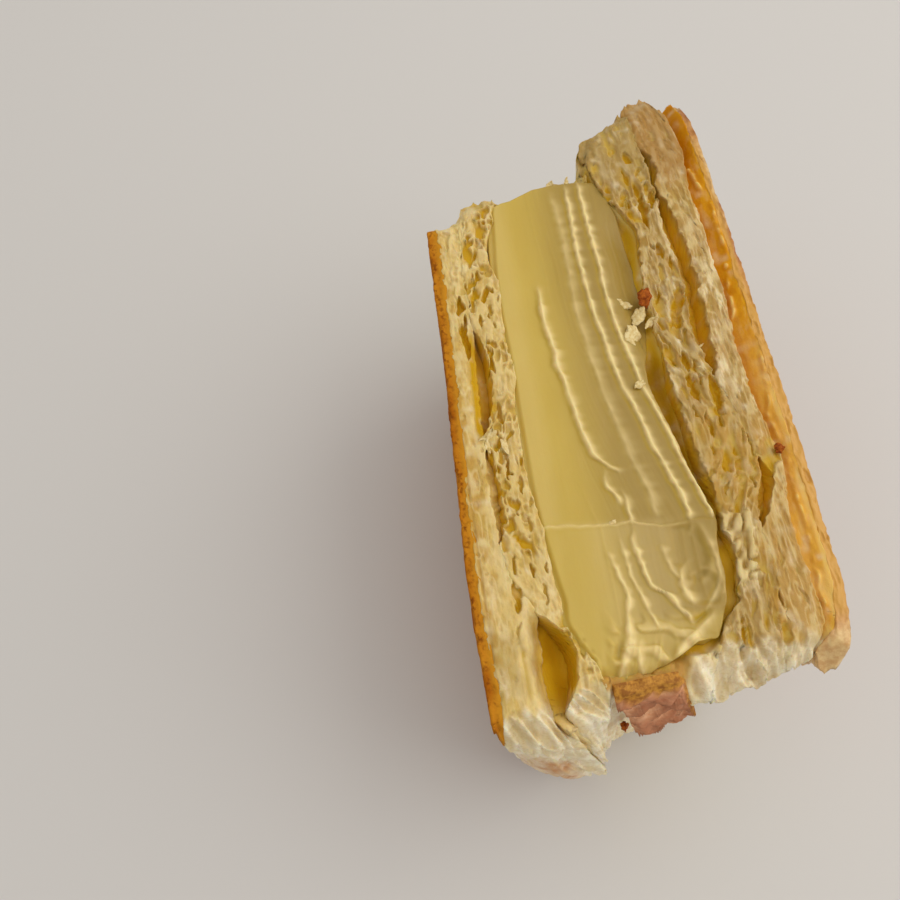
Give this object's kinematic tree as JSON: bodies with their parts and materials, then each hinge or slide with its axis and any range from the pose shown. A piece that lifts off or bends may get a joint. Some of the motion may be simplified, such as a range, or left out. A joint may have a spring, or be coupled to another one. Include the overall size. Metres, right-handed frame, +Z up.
{
  "type": "cream-filled puff pastry half",
  "caption": "Half of a square puff pastry lying cut face up: flaky dough between a pale bottom crust and a glazed browned top crust, round a thick band of cream.",
  "frame": {"origin": "on the surface it lies on, under the middle of the pastry's box", "axes": "+Z up, out of the cut face; +Y along the length, towards the end where the top crust reaches furthest; +X towards the glazed top crust, so the bottom crust is at -X"},
  "size_m": [0.0534, 0.1162, 0.0605],
  "materials": {
    "baked_dough": "flaky puff pastry: pale layered dough where it is cut, golden-brown glazed top crust, matt light-brown bottom crust",
    "cream": "smooth pale-yellow cream with a soft sheen and fine knife ridges"
  },
  "bodies": {
    "root": {"pastry": "baked_dough", "cream_filling": "cream"}
  },
  "joints": []
}
